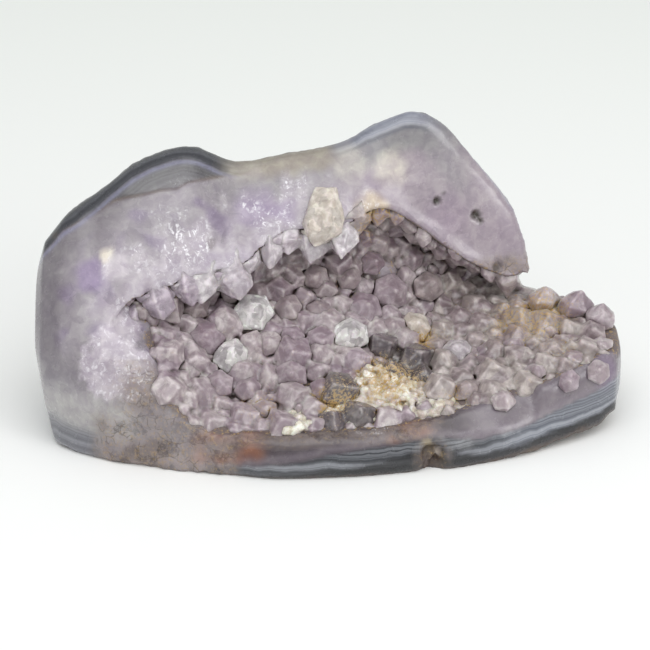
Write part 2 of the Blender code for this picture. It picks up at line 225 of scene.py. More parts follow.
def welded_copy(node: str) -> bmesh.types.BMesh:
    """A copy of a CAD node's mesh with its loose triangles joined.

    Args:
        node: The CAD node's name.

    Returns:
        The joined copy.
    """
    shape = bmesh.new()
    shape.from_mesh(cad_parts[node].data)
    bmesh.ops.remove_doubles(shape, verts=shape.verts[:], dist=0.002 * MM)
    return shape


def worn_shape(shape: bmesh.types.BMesh, name: str, voxel: float, rounds: int) -> bpy.types.Mesh:
    """Fuses a mesh into one even skin and wears its edges; the given mesh is freed.

    Args:
        shape: The mesh, which may be several overlapping solids.
        name: The new mesh's name.
        voxel: The skin's grain, in millimetres.
        rounds: How often the skin is smoothed.

    Returns:
        The worn mesh.
    """
    mesh = bpy.data.meshes.new(name + "_draft")
    shape.to_mesh(mesh)
    shape.free()
    draft = place_in_collection(name + "_draft", mesh)
    remesh = draft.modifiers.new("even", "REMESH")
    remesh.mode = "VOXEL"
    remesh.voxel_size = voxel * MM
    remesh.use_smooth_shade = True
    smooth = draft.modifiers.new("worn", "SMOOTH")
    smooth.factor = 0.5
    smooth.iterations = rounds
    worn = evaluated_mesh(draft)
    worn.name = name
    bpy.data.objects.remove(draft)
    return worn


def surface_tree(mesh: bpy.types.Mesh) -> BVHTree:
    """A search tree over a mesh's faces, in metres.

    Args:
        mesh: The mesh.

    Returns:
        The tree.
    """
    shape = bmesh.new()
    shape.from_mesh(mesh)
    tree = BVHTree.FromBMesh(shape)
    shape.free()
    return tree


def point_tree(places: np.ndarray, chosen: np.ndarray) -> KDTree:
    """A search tree over some of the points, each found by its own number.

    Args:
        places: Points in millimetres.
        chosen: The numbers of those that go in.

    Returns:
        The tree.
    """
    tree = KDTree(len(chosen))
    for index in chosen:
        tree.insert(Vector(places[index]), int(index))
    tree.balance()
    return tree


def distances(places: np.ndarray, tree: KDTree) -> np.ndarray:
    """How far each place is from the nearest point of a tree, in millimetres."""
    return np.array([tree.find(Vector(place))[2] for place in places])


def finish_mesh(mesh: bpy.types.Mesh, material: bpy.types.Material) -> None:
    """Gives a mesh one material."""
    mesh.materials.clear()
    mesh.materials.append(material)


class Coat:
    """Colours on a surface, one row a point, that paints are laid over one after another."""

    def __init__(self, count: int, ground: tuple[int, int, int]) -> None:
        """Starts with one display-scale colour on every point."""
        self.colours = np.tile(np.array(srgb(*ground)), (count, 1))

    def lay(self, paint: tuple[int, int, int], amount: np.ndarray) -> None:
        """Lays a display-scale paint over the colours, with its amount from 0 to 1 at each point."""
        self.colours = mixed(self.colours, srgb(*paint), amount)


class Graph:
    """A short way to write a material's node tree."""

    def __init__(self, name: str) -> None:
        """Starts a material with one Principled shader."""
        self.material = bpy.data.materials.new(name)
        self.material.use_nodes = True
        self.tree = self.material.node_tree
        self.shader = self.tree.nodes["Principled BSDF"]

    def node(self, kind: str, inputs: dict, **settings: object) -> bpy.types.Node:
        """Adds a node.

        Args:
            kind: The node's type, without its ShaderNode prefix.
            inputs: Input name or number to a value or to an output socket.
            settings: The node's own settings.

        Returns:
            The node.
        """
        made = self.tree.nodes.new("ShaderNode" + kind)
        for key, value in settings.items():
            setattr(made, key, value)
        for key, value in inputs.items():
            self.feed(made.inputs[key], value)
        return made

    def feed(self, socket: bpy.types.NodeSocket, value: object) -> None:
        """Links an output to the socket, or sets its value.

        Args:
            socket: The input.
            value: An output socket, a colour or a number.
        """
        if isinstance(value, bpy.types.NodeSocket):
            self.tree.links.new(value, socket)
        elif isinstance(value, tuple) and len(value) == 3 and socket.type == "RGBA":
            socket.default_value = (*value, 1.0)
        else:
            socket.default_value = value

    def attribute(self, name: str, colour: bool = False) -> bpy.types.NodeSocket:
        """The output of one of the mesh's attributes."""
        made = self.node("Attribute", {}, attribute_name=name)
        return made.outputs["Color" if colour else "Fac"]

    def place(self) -> bpy.types.NodeSocket:
        """Object coordinates, in metres."""
        return self.node("TexCoord", {}).outputs["Object"]

    def noise(self, size: float, detail: float = 2.0, warp: float = 0.0,
              rough: float = 0.5) -> bpy.types.NodeSocket:
        """Noise with features of a size in millimetres.

        Args:
            size: The size of its features.
            detail: How many finer layers it has.
            warp: How far it is bent.
            rough: How strong the finer layers are.

        Returns:
            The output, from 0 to 1.
        """
        inputs = {"Vector": self.place(), "Scale": 1 / (size * MM), "Detail": detail, "Distortion": warp}
        inputs["Roughness"] = rough
        return self.node("TexNoise", inputs).outputs["Fac"]

    def ramp(self, value: bpy.types.NodeSocket, low: float, high: float) -> bpy.types.NodeSocket:
        """0 below low and 1 above high, with a soft step between."""
        inputs = {"Value": value, "From Min": low, "From Max": high}
        return self.node("MapRange", inputs, interpolation_type="SMOOTHSTEP").outputs["Result"]

    def math(self, operation: str, first: object, second: object = 0.0) -> bpy.types.NodeSocket:
        """One step of arithmetic on numbers or outputs."""
        return self.node("Math", {0: first, 1: second}, operation=operation).outputs["Value"]

    def times(self, first: object, second: object) -> bpy.types.NodeSocket:
        """The product of two numbers or outputs."""
        return self.math("MULTIPLY", first, second)

    def plus(self, first: object, second: object) -> bpy.types.NodeSocket:
        """The sum of two numbers or outputs."""
        return self.math("ADD", first, second)

    def blend(self, amount: object, first: object, second: object, mode: str = "MIX") -> bpy.types.NodeSocket:
        """Mixes two colours.

        Args:
            amount: How much of the second, 0 to 1.
            first: The colour underneath.
            second: The colour on top.
            mode: Blender's way of blending.

        Returns:
            The mixed colour.
        """
        made = self.node("Mix", {0: amount}, data_type="RGBA", blend_type=mode)
        self.feed(next(s for s in made.inputs if s.type == "RGBA" and s.name == "A"), first)
        self.feed(next(s for s in made.inputs if s.type == "RGBA" and s.name == "B"), second)
        return next(out for out in made.outputs if out.type == "RGBA")

    def bump(self, height: bpy.types.NodeSocket, distance: float, strength: float = 1.0) -> None:
        """Tilts the shading by a height pattern, whose full height is a distance in millimetres."""
        made = self.node("Bump", {"Height": height, "Distance": distance * MM, "Strength": strength})
        self.feed(self.shader.inputs["Normal"], made.outputs["Normal"])

    def finish(self, colour: object, roughness: object, **constants: float) -> bpy.types.Material:
        """Feeds the shader and hands back the material.

        Args:
            colour: The base colour.
            roughness: The roughness.
            constants: Other shader inputs by name, with _ for a space.

        Returns:
            The material.
        """
        self.feed(self.shader.inputs["Base Color"], colour)
        self.feed(self.shader.inputs["Roughness"], roughness)
        for name, value in constants.items():
            self.shader.inputs[name.replace("_", " ")].default_value = value
        return self.material


@dataclass(frozen=True)
class Quartz:
    """A quartz finish: a cloudy body with painted reflections, painted shade in its gaps and creases, and pale
    rims that are frost and painted highlight.
    """

    name: str
    body: tuple[float, float, float]
    cloud: tuple[float, float, float]
    # The gap colour is painted shade in a dirt brown, laid where the points are shut in.
    gap: tuple[float, float, float] = srgb(70, 56, 46)
    # The pale rim colour is partly frost and partly a painted highlight.
    rim: tuple[float, float, float] = srgb(208, 200, 196)
    dust: tuple[float, float, float] = srgb(196, 166, 112)
    dusting: float = 0.8
    roughness: float = 0.34
    scatter: float = 0.8
    # How strongly painted reflections are laid over the body.
    painted_reflection: float = 0.22
    clear: float = 0.08
    rim_frost_and_sheen: float = 0.5
    deepening: float = 0.75

    def material(self) -> bpy.types.Material:
        """Builds the finish.

        Returns:
            The material.
        """
        graph = Graph(self.name)
        openness = graph.attribute("open")
        cloudy = graph.ramp(graph.noise(2.0, 6, 0.5, 0.6), 0.40, 0.66)
        colour = graph.blend(cloudy, self.body, self.cloud)
        # Painted reflections: light and dark facet-like cells multiplied into the body, stronger in the
        # glassier finishes.
        chips = graph.node("TexVoronoi", {"Vector": graph.place(), "Scale": 1 / (1.7 * MM)},
                           distance="CHEBYCHEV")
        tone = graph.node("SeparateColor", {"Color": chips.outputs["Color"]}).outputs["Blue"]
        reflection_tone = graph.blend(tone, (0.55, 0.53, 0.56), (1.4, 1.4, 1.4))
        colour = graph.blend(self.painted_reflection, colour, graph.blend(1.0, colour, reflection_tone, "MULTIPLY"))
        deeper = graph.times(graph.ramp(graph.attribute("tint"), 0.2, 1.0), self.deepening)
        colour = graph.blend(deeper, colour, graph.blend(1.0, colour, (0.66, 0.58, 0.68), "MULTIPLY"))
        # Painted shade: the colour turns dark brown where the ray-cast openness is low, between the crystals;
        # the brown also stands for dirt lodged there.
        colour = graph.blend(graph.ramp(openness, 0.56, 0.14), colour, self.gap)
        # Painted shade along the creases where fused points meet, in the same dark brown.
        seam = graph.times(graph.attribute("cleft"), graph.ramp(graph.noise(4.0, 3), 0.25, 0.5))
        colour = graph.blend(graph.times(seam, 0.9), colour, self.gap)
        # Pale rims along the edges: partly frosted wear, partly a painted highlight.
        edge = graph.times(graph.attribute("edge"), graph.ramp(graph.noise(1.1, 3), 0.35, 0.6))
        colour = graph.blend(graph.times(edge, self.rim_frost_and_sheen), colour, self.rim)
        earthy = graph.plus(graph.noise(0.5, 5, 0.3, 0.7), graph.times(graph.attribute("earth"), 0.13))
        grains = graph.ramp(earthy, 0.57, 0.66)
        patches = graph.math("MAXIMUM", graph.ramp(graph.noise(5.0, 2), 0.47, 0.62), graph.attribute("earth"))
        lodged = graph.ramp(openness, 0.85, 0.4)
        held = graph.plus(graph.times(lodged, 0.7), 0.3)
        dirt = graph.times(graph.times(grains, patches), held)
        spread = graph.plus(graph.times(graph.attribute("earth"), 2.6), self.dusting)
        dirt = graph.times(dirt, spread)
        dirt = graph.math("MINIMUM", dirt, 1.0)
        colour = graph.blend(dirt, colour, self.dust)
        etched = graph.noise(0.55, 5, 0.4, 0.6)
        roughness = graph.plus(self.roughness - 0.12, graph.times(etched, 0.2))
        roughness = graph.plus(roughness, graph.times(dirt, 0.4))
        graph.bump(etched, 0.1, 0.35)
        material = graph.finish(colour, roughness, Subsurface_Weight=self.scatter, Subsurface_Scale=1.4 * MM,
                                Transmission_Weight=self.clear, Coat_Weight=0.6, Coat_Roughness=0.08,
                                IOR=1.54)
        graph.shader.inputs["Subsurface Radius"].default_value = (1.0, 0.82, 1.05)
        return material


class Look(Enum):
    """The kinds of quartz point on the stone, among them a darker copy of the lavender kind whose colour is
    painted shade.
    """

    LAVENDER = Quartz("lavender_quartz", srgb(164, 149, 154), srgb(206, 197, 197))
    GREY = Quartz("grey_quartz", srgb(154, 142, 140), srgb(198, 188, 184), dusting=1.0)
    PALE = Quartz("pale_quartz", srgb(176, 168, 173), srgb(218, 212, 215), roughness=0.22, painted_reflection=0.3,
                  clear=0.0)
    BEIGE = Quartz("beige_quartz", srgb(196, 186, 174), srgb(230, 223, 213), roughness=0.2, painted_reflection=0.4,
                   clear=0.06, deepening=0.15)
    CLEAR = Quartz("clear_quartz_glint", srgb(204, 201, 199), srgb(244, 242, 239), roughness=0.12,
                   dusting=0.3, painted_reflection=0.75, clear=0.1, deepening=0.2)
    # A darker copy of the lavender quartz: painted shade for points under the upper jaw and deep in the
    # hollow.
    SHADED = Quartz("shaded_quartz", srgb(144, 129, 133), srgb(182, 170, 170), dusting=0.8)
    SMOKY = Quartz("smoky_quartz", srgb(98, 90, 92), srgb(132, 124, 122), dusting=1.0, roughness=0.2)
    CRUST = Quartz("white_crust", srgb(212, 202, 182), srgb(246, 243, 236), dusting=0.5, roughness=0.3)


# The kind of quartz by a crystal's first word; those at the back take the darker quartz, whose colour is
# painted shade.
LOOK_OF_NAME = {
    "beige": Look.BEIGE, "bright": Look.CLEAR, "clear": Look.CLEAR, "whitish": Look.CLEAR, "pale": Look.PALE,
    "lip": Look.PALE, "grey": Look.GREY, "tall": Look.GREY, "dusty": Look.GREY, "back": Look.SHADED,
}


@dataclass(frozen=True)
class BandedStone:
    """The wall's finish: painted zones, fine agate lines by depth, and a polish over them."""

    name: str = "banded_chalcedony"
    fine: float = 0.62
    coarse: float = 1.7

    def material(self) -> bpy.types.Material:
        """Builds the finish.

        Returns:
            The material.
        """
        graph = Graph(self.name)
        wobble = graph.times(graph.math("SUBTRACT", graph.noise(5.0, 3), 0.5), 1.1)
        depth = graph.plus(graph.attribute("depth"), wobble)
        lines = graph.node("TexNoise", {"W": depth, "Scale": 1 / self.fine, "Detail": 2.0},
                           noise_dimensions="1D")
        bands = graph.node("TexNoise", {"W": depth, "Scale": 1 / self.coarse, "Detail": 1.0},
                           noise_dimensions="1D")
        pale = graph.plus(graph.times(graph.ramp(lines.outputs["Fac"], 0.40, 0.62), 0.55),
                          graph.times(graph.ramp(bands.outputs["Fac"], 0.42, 0.6), 0.45))
        agate = graph.attribute("agate")
        paint = graph.attribute("paint", True)
        lined = graph.blend(pale, graph.blend(1.0, paint, (0.46, 0.47, 0.52), "MULTIPLY"),
                            graph.blend(0.42, paint, srgb(190, 192, 200)))
        colour = graph.blend(agate, paint, lined)
        mottle = graph.noise(2.2, 6, 0.5, 0.62)
        shade = graph.blend(graph.ramp(mottle, 0.30, 0.72), (0.84, 0.80, 0.86), (1.12, 1.12, 1.10))
        unlined = graph.math("SUBTRACT", 1.0, agate)
        colour = graph.blend(unlined, colour, graph.blend(1.0, colour, shade, "MULTIPLY"))
        warped = graph.node("TexNoise", {"Vector": graph.place(), "Scale": 1 / (2.0 * MM), "Detail": 3.0})
        shift = graph.node("VectorMath", {0: warped.outputs["Color"], 1: (1.6 * MM, 1.6 * MM, 1.6 * MM)},
                           operation="MULTIPLY")
        shifted = graph.node("VectorMath", {0: graph.place(), 1: shift.outputs["Vector"]})
        blocks = graph.node("TexVoronoi", {"Vector": shifted.outputs["Vector"], "Scale": 1 / (3.2 * MM)})
        tone = graph.node("SeparateColor", {"Color": blocks.outputs["Color"]}).outputs["Green"]
        stepped = graph.blend(tone, (0.86, 0.84, 0.87), (1.1, 1.1, 1.1))
        colour = graph.blend(graph.attribute("cells"), colour, graph.blend(1.0, colour, stepped, "MULTIPLY"))
        cracks = graph.node("TexVoronoi", {"Vector": shifted.outputs["Vector"], "Scale": 1 / (2.4 * MM)},
                            feature="DISTANCE_TO_EDGE").outputs["Distance"]
        broken = graph.attribute("broken")
        patch = graph.blend(graph.ramp(tone, 0.1, 0.9), srgb(78, 68, 66), srgb(164, 152, 150))
        patch = graph.blend(graph.ramp(graph.noise(0.9, 5, 0.6, 0.7), 0.42, 0.62), patch, srgb(150, 138, 134))
        colour = graph.blend(graph.times(broken, 0.42), colour, patch)
        seam = graph.times(graph.ramp(cracks, 0.06, 0.0), broken)
        seam = graph.times(seam, graph.ramp(graph.noise(2.6, 3), 0.45, 0.6))
        colour = graph.blend(graph.times(seam, 0.55), colour, srgb(74, 60, 50))
        long = graph.node("Mapping", {"Vector": graph.place(), "Scale": (1.0, 0.4, 0.4)}).outputs["Vector"]
        shards = graph.node("TexVoronoi", {"Vector": long, "Scale": 1 / (0.42 * MM), "Randomness": 1.0})
        bright = graph.node("SeparateColor", {"Color": shards.outputs["Color"]}).outputs["Red"]
        frayed = graph.ramp(graph.noise(1.3, 6, 1.2, 0.65), 0.48, 0.62)
        glint = graph.times(graph.plus(graph.ramp(bright, 0.3, 0.9), 0.25), frayed)
        glint = graph.times(glint, graph.attribute("sparkle"))
        colour = graph.blend(glint, colour, srgb(236, 233, 238))
        grit = graph.times(graph.ramp(graph.noise(0.7, 5, 0.2, 0.7), 0.52, 0.62), graph.attribute("dirt"))
        colour = graph.blend(grit, colour, srgb(176, 148, 100))
        matte = graph.attribute("matte")
        rough = graph.plus(0.2, graph.times(matte, 0.5))
        rough = graph.plus(rough, graph.times(graph.noise(1.4, 4), 0.12))
        relief = graph.times(graph.noise(0.9, 6, 0.3, 0.65), graph.plus(matte, 0.06))
        graph.bump(relief, 0.5, 0.7)
        material = graph.finish(colour, rough, Subsurface_Weight=0.3, Subsurface_Scale=1.6 * MM,
                                Coat_Weight=0.25, Coat_Roughness=0.12, IOR=1.54)
        graph.shader.inputs["Subsurface Radius"].default_value = (1.0, 0.85, 1.0)
        return material


@dataclass
class Sight:
    """Casts rays to tell how open each point of a surface is to its surroundings."""

    surface: BVHTree
    seed: int = 11

    def openness(self, places: np.ndarray, facing: np.ndarray, near: float, far: float,
                 rays: int) -> np.ndarray:
        """How freely each point looks out, from how far its rays get.

        Args:
            places: Points in millimetres.
            facing: Their normals.
            near: A ray that gets this far counts for most of its worth, in millimetres.
            far: A ray that gets this far counts in full, in millimetres.
            rays: Rays a point.

        Returns:
            1 for an open point and 0 for one that is shut in.
        """
        dice = random.Random(self.seed)
        fan = []
        for number in range(rays):
            height = math.sqrt((number + 0.5) / rays)
            turn = 2.39996 * number + dice.random()
            across = math.sqrt(1 - height * height)
            fan.append(Vector((across * math.cos(turn), across * math.sin(turn), height)))
        free = np.zeros(len(places))
        for index, (place, normal) in enumerate(zip(places, facing)):
            up = Vector(normal)
            start = (Vector(place) + up * 0.12) * MM
            turned = up.to_track_quat("Z", "Y")
            worth = 0.0
            for ray in fan:
                way = self.surface.ray_cast(start, turned @ ray, far * MM)[3]
                way = far if way is None else way / MM
                worth += 0.75 * min(1.0, way / near) + 0.25 * min(1.0, way / far)
            free[index] = worth / rays
        return free


def edge_table(mesh: bpy.types.Mesh) -> np.ndarray:
    """The two points of every edge.

    Args:
        mesh: The mesh.

    Returns:
        Two point numbers an edge.
    """
    ends = np.empty(len(mesh.edges) * 2, np.int32)
    mesh.edges.foreach_get("vertices", ends)
    return ends.reshape(-1, 2)


def relaxed(mesh: bpy.types.Mesh, values: np.ndarray, rounds: int) -> np.ndarray:
    """Averages values over the mesh's neighbouring points.

    Args:
        mesh: The mesh.
        values: One number a point.
        rounds: How many times.

    Returns:
        The smoothed numbers.
    """
    ends = edge_table(mesh)
    count = np.bincount(ends.reshape(-1), minlength=len(values)) + 1.0
    for _ in range(rounds):
        total = values.copy()
        total += np.bincount(ends[:, 0], values[ends[:, 1]], len(values))
        total += np.bincount(ends[:, 1], values[ends[:, 0]], len(values))
        values = total / count
    return values


def sharpness(mesh: bpy.types.Mesh, places: np.ndarray, facing: np.ndarray) -> np.ndarray:
    """How far each point stands out from its neighbours, in millimetres.

    Args:
        mesh: The mesh.
        places: Its points.
        facing: Their normals.

    Returns:
        One distance a point.
    """
    ends = edge_table(mesh)
    count = np.maximum(np.bincount(ends.reshape(-1), minlength=len(places)), 1)
    middle = np.zeros_like(places)
    for axis in range(3):
        middle[:, axis] += np.bincount(ends[:, 0], places[ends[:, 1], axis], len(places))
        middle[:, axis] += np.bincount(ends[:, 1], places[ends[:, 0], axis], len(places))
    middle /= count[:, None]
    return ((places - middle) * facing).sum(axis=1)


@dataclass
class Wall:
    """The ground stone: skin at the back and underneath, agate inside it, quartz towards the hollow."""

    voxel: float = 0.62
    rounding: int = 8
    outer_reach: float = 45.0

    def build(self) -> bpy.types.Object:
        """Builds the wall in the frame's place and dresses it.

        Returns:
            The wall.
        """
        worn = worn_shape(welded_copy("geode_wall"), "polished_geode_wall", self.voxel, self.rounding)
        wall = place_in_collection("polished_geode_wall", worn)
        self.dress(worn)
        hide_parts("geode_wall")
        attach(wall, BODY)
        return wall

    def hollow_front(self, across: np.ndarray) -> np.ndarray:
        """Where the crystals end and the polished lip starts: Y for each place across, in millimetres."""
        return np.interp(across, [-36, -33, -28, -23, -6, 8, 19, 28, 33, 43, 50, 56],
                         [-22.5, -23.5, -25.6, -26, -25, -24, -21.5, -18, -16.5, -13.8, -11, -7])

    def hollow(self, mesh: bpy.types.Mesh, places: np.ndarray, facing: np.ndarray) -> np.ndarray:
        """Tells the crystal-lined hollow from the outside.

        Args:
            mesh: The wall.
            places: Its points.
            facing: Their normals.

        Returns:
            1 inside the hollow and 0 outside.
        """
        sight = Sight(surface_tree(mesh), 5)
        outlook = sight.openness(places, facing, self.outer_reach, self.outer_reach, 12)
        shut = relaxed(mesh, 1 - outlook, 3)
        inside = smoothstep(0.10, 0.22, shut)
        x, y, z = places.T
        flat = smoothstep(0.1, 0.3, facing[:, 2]) * (z < 24) * (z > 7.5) * (x > -36)
        behind = (y > 4) & (z < 38.5) & (z > 14) & (x < 10) & (facing[:, 1] < 0.2) & (y < 22)
        inside = np.maximum(inside, np.maximum(flat, behind))
        floor = (z < 21) & (y < self.hollow_front(x) + field_noise(places, 3.0, 4) * 0.8)
        inside[floor] = 0
        start = np.interp(z, [7.5, 10.5, 13, 18, 23, 26, 30], [-22, -28.5, -34.5, -32, -35, -39.5, -41])
        inside[x < start + field_noise(places, 3.6, 7) * 2.2] = 0
        inside[(y > 24) | (z < 4)] = 0
        return relaxed(mesh, inside, 2)

    def dress(self, mesh: bpy.types.Mesh) -> None:
        """Works out the wall's depths and zones, roughens it where it is natural, and paints it.

        Args:
            mesh: The wall's mesh.
        """
        places = coordinates(mesh)
        facing = normals(mesh)
        x, y, z = places.T
        hollow = self.hollow(mesh, places, facing)
        back = smoothstep(0.15, 0.4, facing[:, 1])
        under = smoothstep(-0.5, -0.7, facing[:, 2])
        natural = np.where((hollow < 0.3) & ((back > 0.5) & (y > -8) | (under > 0.5) & (z < 4)), 1.0, 0.0)
        natural[(np.abs(x - 19) < 6) & (y < -19) & (z > 1.2)] = 0
        natural = relaxed(mesh, natural, 2)
        natural[hollow > 0.3] = 0
        depth = distances(places, point_tree(places, np.flatnonzero(natural > 0.5)))
        depth = relaxed(mesh, depth, 4)
        self.paint(mesh, places, depth, natural, hollow)
        past = depth + field_noise(places, 7, 11) * 0.5 - self.ledge_depth(x)
        step = smoothstep(-0.4, 0.4, past) * smoothstep(-14, -18, x) * (z > 25) * (1 - natural)
        step *= smoothstep(-50, -44, x) * smoothstep(12, 5, past)
        bumps = field_noise(places, 7, 1) * 0.8 + field_noise(places, 2.2, 3) * 0.5
        bumps = bumps + field_noise(places, 1.2, 22) * 0.2
        ripple = field_noise(places, 9, 6) * 0.16
        rough = self.roughened(places, hollow)
        raised = 0.15 + natural * (bumps - 0.2) + (1 - natural) * ripple + 0.35 * step
        raised += rough * (field_noise(places, 1.6, 8) * 0.5 + field_noise(places, 3.4, 9) * 0.4)
        for centre, size in self.pits():
            raised -= 0.9 * spot(places, centre, size)
        raised += 1.7 * smoothstep(6, 1.5, z) * smoothstep(-0.1, -0.4, facing[:, 1])
        raised -= 2.2 * spot(places, (19.3, -25.5, 2.5), 3.4) * (1 + 1.6 * field_noise(places, 1.5, 21))
        raised[hollow > 0.5] *= 0.3
        moved = places + facing * raised[:, None]
        low, high = (np.array(corner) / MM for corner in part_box("geode_wall"))
        moved = np.clip(moved, low - 1.6, high + 0.4)
        moved[:, 2] = np.maximum(moved[:, 2], 0.02)
        set_points(mesh, moved)

    def pits(self) -> list[tuple[Place, float]]:
        """The dark pits of the right lobe, as centres and sizes."""
        return [((29.0, 12.3, 37.4), 1.3), ((21.1, 10.9, 41.0), 1.1), ((15.6, 12.6, 36.2), 1.4),
                ((24.2, 15.5, 27.5), 1.1), ((33.4, 10.4, 26.7), 1.3), ((31.0, 11.6, 27.6), 1.0),
                ((19.5, 12.4, 38.0), 1.0), ((26.5, 13.4, 29.6), 0.9), ((30.0, 12.0, 36.2), 0.8),
                ((17.0, 12.5, 34.6), 0.8), ((22.5, 11.0, 42.4), 0.7), ((35.0, 10.0, 30.5), 0.8)]

    def roughened(self, places: np.ndarray, hollow: np.ndarray) -> np.ndarray:
        """Where the stone is broken instead of polished.

        That is the lower left, the hollow's front edge, the lobe's end and the notch.

        Args:
            places: Points in millimetres.
            hollow: 1 inside the hollow.

        Returns:
            1 where it is broken and 0 where it is polished.
        """
        x, y, z = places.T
        lower = smoothstep(-47, -43, x) * smoothstep(-16, -20, x) * smoothstep(12, 8, z) * (y < -5)
        crust = smoothstep(4.5, 1.0, np.abs(y - self.hollow_front(x))) * (z < 21) * (z > 6)
        crust *= smoothstep(-45, -36, x) * smoothstep(24, 17, x)
        lobe_end = smoothstep(30, 33, 62 - z) * smoothstep(30, 27, z) * smoothstep(27, 32, x)
        lobe_end *= (y > 2) * (z > 20)
        notch = spot(places, (19.3, -24.8, 3.0), 4.6)
        return np.clip(np.maximum.reduce([lower, crust * 0.8, lobe_end, notch]), 0, 1) * (hollow < 0.5)

    def paint(self, mesh: bpy.types.Mesh, places: np.ndarray, depth: np.ndarray, natural: np.ndarray,
              hollow: np.ndarray) -> None:
        """Paints the zones and stores what the finish reads.

        Args:
            mesh: The wall's mesh.
            places: Its points.
            depth: Their distances from the natural skin.
            natural: 1 on the natural skin.
            hollow: 1 inside the hollow.
        """
        x, y, z = places.T
        wander = field_noise(places, 7, 11)
        patchy = field_noise(places, 3.2, 12)
        upper = smoothstep(15, 24, z + wander)
        right = smoothstep(-2, 6, x + wander * 3)
        deep = depth + wander * 0.5
        rough = self.roughened(places, hollow)

        coat = Coat(len(x), (140, 135, 139))
        coat.lay((152, 147, 151), smoothstep(-0.2, 0.5, wander) * 0.7)
        coat.lay((140, 137, 141), smoothstep(-44, -53, x + wander * 2) * 0.8)
        coat.lay((164, 154, 160), upper * right)
        coat.lay((72, 63, 68), (1 - upper) * smoothstep(-28, -16, x))
        coat.lay((124, 116, 122), (1 - upper) * smoothstep(22, 30, x))

        coat.lay((118, 112, 117), smoothstep(-26, -40, x) * smoothstep(12, 22, z) * 0.65)

        crest = upper * (1 - right)
        ledge = self.ledge_depth(x)
        grey = crest * smoothstep(ledge + 0.5, ledge - 0.5, deep)
        coat.lay((92, 90, 92), grey)
        coat.lay((112, 96, 84), crest * np.exp(-((deep - ledge) / 0.35) ** 2) * (x < -15) * 0.6)
        rind = crest * smoothstep(-16, -20, x)
        coat.lay((138, 138, 160), rind * np.exp(-((depth - 5.1) / 0.45) ** 2) * 0.8)
        coat.lay((50, 51, 58), rind * smoothstep(4.8, 4.1, depth + patchy * 0.2))
        olive = crest * smoothstep(-24, -17, x) * smoothstep(8, 2, x) * smoothstep(7, 4, depth + patchy)
        coat.lay((160, 152, 138), olive * 0.85)
        coat.lay((190, 184, 172), olive * smoothstep(0.1, 0.5, patchy) * 0.6)

        lobe = upper * right
        coat.lay((138, 136, 138), lobe * smoothstep(9, 6, deep) * smoothstep(30, 22, x))
        edge = lobe * smoothstep(24, 15, x)
        coat.lay((96, 98, 110), edge * np.exp(-((depth - 3.4) / 0.4) ** 2) * 0.75)
        coat.lay((134, 137, 150), edge * smoothstep(3.2, 2.6, depth))
        coat.lay((176, 174, 182), lobe * smoothstep(26, 30, x) * smoothstep(1.6, 1.0, depth))

        along = [-24, -13, 3, 11, 18.7, 28, 38, 45, 54]
        thick = np.interp(x, along, [1.8, 2.6, 4.6, 5.2, 5.9, 4.4, 4.0, 6.0, 7.6])
        lip = (1 - upper) * smoothstep(-27, -21, x + wander * 3)
        band = lip * smoothstep(thick + 0.3, thick - 0.2, depth + wander * 0.2)
        coat.lay((150, 142, 150), lip * np.exp(-((depth - thick - 0.9) / 0.7) ** 2) * 0.35)
        light = np.interp(x, along, [1.0, 1.4, 2.3, 1.9, 1.5, 2.2, 2.2, 3.8, 5.2])
        lit = smoothstep(thick - light - 0.3, thick - light + 0.3, depth + wander * 0.2)
        coat.lay((54, 55, 61), band)
        coat.lay((122, 125, 134), band * smoothstep(26, 40, x))
        coat.lay((22, 22, 25), band * (1 - lit))
        coat.lay((70, 50, 36), band * smoothstep(1.2, 0.5, depth + patchy * 0.7) * 0.85)
        corner = (1 - upper) * smoothstep(-42, -46, x) * smoothstep(7.5, 5, depth + wander)
        coat.lay((108, 109, 116), corner * 0.8)
        coat.lay((176, 174, 172), smoothstep(-35, -39, x) * smoothstep(17, 12, z + wander * 2)
                      * smoothstep(4, 7, z) * 0.8)

        lipward = distances(places, point_tree(places, np.flatnonzero(hollow > 0.5)))
        streak = field_noise(places * np.array([1.0, 0.3, 0.3]), 2.2, 24)
        frosted = smoothstep(8.5, 3.0, lipward - streak * 5.0) * smoothstep(24, 27, z) * smoothstep(12, 4, x)
        near_lip = upper * smoothstep(7, 11, depth) * smoothstep(2, -4, x) * smoothstep(-54, -50, x)
        violet = smoothstep(0.05, 0.5, field_noise(places, 4.2, 14))
        coat.lay((170, 164, 169), near_lip * 0.4)
        coat.lay((122, 104, 138), near_lip * violet * 0.5)
        coat.lay((190, 182, 189), frosted * 0.6)
        coat.lay((118, 102, 116), frosted * smoothstep(-0.15, -0.45, streak) * 0.45)
        for centre, size, colour, amount in self.patches():
            coat.lay(colour, spot(places + patchy[:, None] * 1.1, centre, size) * amount)
        white = spot(places + wander[:, None] * 2.5, (-40, -19.5, 20), 10.5)
        ragged = field_noise(places, 4.5, 18) * 0.55 + field_noise(places, 1.6, 19) * 0.3
        white = smoothstep(0.28, 0.55, white + ragged) * smoothstep(0.02, 0.2, white)
        coat.lay((198, 190, 197), white * 0.75)
        sparkle = near_lip * smoothstep(0.0, 0.45, field_noise(places, 5, 15))
        sparkle = sparkle * smoothstep(-46, -40, x) * 0.55
        sparkle = np.maximum(sparkle, white * 0.45)
        sparkle = np.maximum(sparkle, frosted * smoothstep(0.0, 0.4, streak) * 0.75)
        for centre, size in (((-29, -4.5, 37), 6), ((-11, 2, 41), 5), ((8, -21, 10), 6), ((12, -14, 10.5), 6),
                             ((7, 6, 41), 4)):
            sparkle = np.maximum(sparkle, spot(places + patchy[:, None], centre, size) * 0.8)
        iron = smoothstep(9.5, 7, z) * smoothstep(thick, thick + 1.2, deep) * (y < -15)
